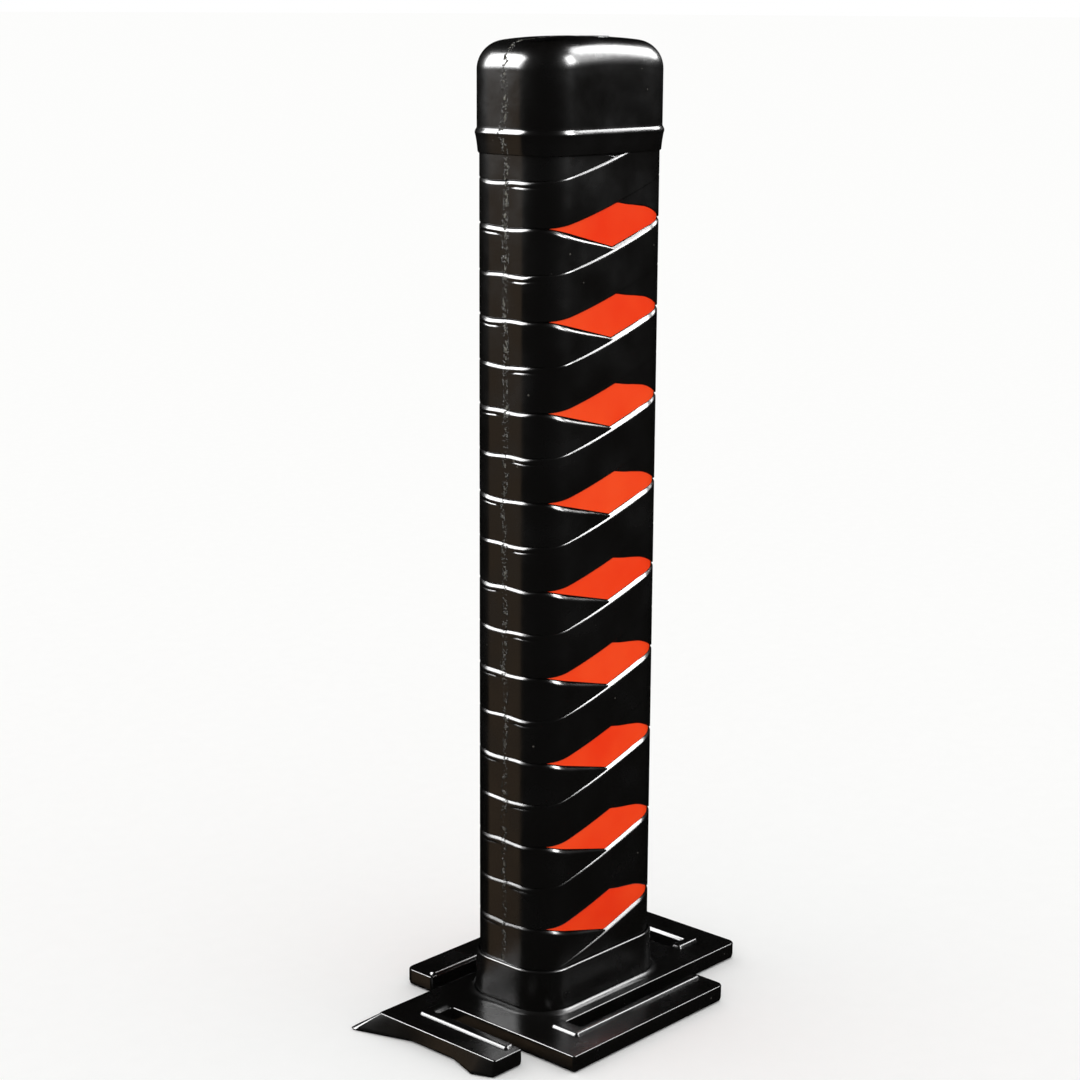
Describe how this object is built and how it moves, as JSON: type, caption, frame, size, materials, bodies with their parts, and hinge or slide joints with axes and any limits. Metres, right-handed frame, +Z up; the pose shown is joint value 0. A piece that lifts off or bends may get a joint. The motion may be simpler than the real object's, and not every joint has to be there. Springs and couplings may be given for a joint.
{
  "type": "retractable bollard",
  "caption": "Retractable street bollard: a wrapped-pattern post with red diamond reflectors that locks up and sinks through a pinwheel ground plate into a buried casing.",
  "frame": {"origin": "on the post's axis at paving level, the underside of the ground plate", "axes": "+Z up along the post; +X along the wide face, -Y out of the front face with the keyway nearer to it"},
  "size_m": [0.422, 0.28, 2.098],
  "materials": {
    "black_moulded_plastic": "satin gloss",
    "black_plate_plastic": "satin gloss",
    "red_reflective_sheet": "satin",
    "black_rubber": "matt",
    "galvanised_steel": "galvanised",
    "stainless_steel": "satin",
    "grey_guide_plastic": "matt",
    "cast_aluminium": "cast",
    "black_painted_steel": "satin"
  },
  "bodies": {
    "ground_unit": {"base_plate": "black_plate_plastic", "collar": "black_moulded_plastic", "wiper_seal": "black_rubber", "casing_flange": "galvanised_steel", "casing_tube": "galvanised_steel", "casing_floor": "galvanised_steel", "flange_bolts": "stainless_steel", "upper_guide": "grey_guide_plastic", "top_buffers": "black_rubber", "foot_buffers": "black_rubber", "drain_spigot": "grey_guide_plastic", "latch_keepers_raised": "galvanised_steel", "latch_keepers_lowered": "galvanised_steel", "strut_cylinder": "black_painted_steel", "strut_clevis": "galvanised_steel", "strut_pin_lower": "stainless_steel"},
    "post": {"front_shell": "black_moulded_plastic", "rear_shell": "black_moulded_plastic", "cap": "black_moulded_plastic", "cap_gasket": "black_rubber", "cap_bridge": "galvanised_steel", "lock_barrel": "stainless_steel", "barrel_nut": "stainless_steel", "head_plate": "galvanised_steel", "core_tube": "galvanised_steel", "foot_plate": "galvanised_steel", "shell_screws": "stainless_steel", "slider_pads": "grey_guide_plastic", "latch_housing": "cast_aluminium", "latch_lid": "cast_aluminium", "latch_spring": "stainless_steel", "strut_rod": "stainless_steel", "strut_piston": "grey_guide_plastic", "strut_eye": "stainless_steel", "strut_bracket": "galvanised_steel", "strut_pin_upper": "stainless_steel", "reflector_front_1": "red_reflective_sheet", "reflector_front_2": "red_reflective_sheet", "reflector_front_3": "red_reflective_sheet", "reflector_front_4": "red_reflective_sheet", "reflector_front_5": "red_reflective_sheet", "reflector_front_6": "red_reflective_sheet", "reflector_front_7": "red_reflective_sheet", "reflector_front_8": "red_reflective_sheet", "reflector_front_9": "red_reflective_sheet", "reflector_rear_1": "red_reflective_sheet", "reflector_rear_2": "red_reflective_sheet", "reflector_rear_3": "red_reflective_sheet", "reflector_rear_4": "red_reflective_sheet", "reflector_rear_5": "red_reflective_sheet", "reflector_rear_6": "red_reflective_sheet", "reflector_rear_7": "red_reflective_sheet", "reflector_rear_8": "red_reflective_sheet", "reflector_rear_9": "red_reflective_sheet"},
    "lock": {"lock_plug": "stainless_steel", "lock_rod": "stainless_steel", "cam_disc": "stainless_steel"},
    "shutter": {"keyhole_shutter": "stainless_steel"},
    "latch_left": {"latch_bolt_left": "stainless_steel"},
    "latch_right": {"latch_bolt_right": "stainless_steel"}
  },
  "joints": [
    {"name": "post_lift", "type": "slide", "parent": "ground_unit", "child": "post", "axis": [0, 0, 1], "range_m": [-0.831, 0], "stiffness_N_per_m": 80, "springref_m": 3.6},
    {"name": "lock_turn", "type": "hinge", "parent": "post", "child": "lock", "pos_m": [0, -0.014, 1], "axis": [0, 0, 1], "range_deg": [0, 90], "stiffness_Nm_per_rad": 0.2, "springref_deg": -28.65},
    {"name": "latch_left_draw", "type": "slide", "parent": "post", "child": "latch_left", "axis": [1, 0, 0], "range_m": [0, 0.008], "deforming": ["latch_spring"]},
    {"name": "latch_right_draw", "type": "slide", "parent": "post", "child": "latch_right", "axis": [-1, 0, 0], "range_m": [0, 0.008]},
    {"name": "shutter_turn", "type": "hinge", "parent": "post", "child": "shutter", "pos_m": [0.011, -0.014, 1.009], "axis": [0, 0, 1], "range_deg": [0, 90]}
  ],
  "couplings": [
    {"joint": "latch_left_draw", "follows": "lock_turn", "m_per_rad": 0.005092},
    {"joint": "latch_right_draw", "follows": "lock_turn", "m_per_rad": 0.005092}
  ]
}
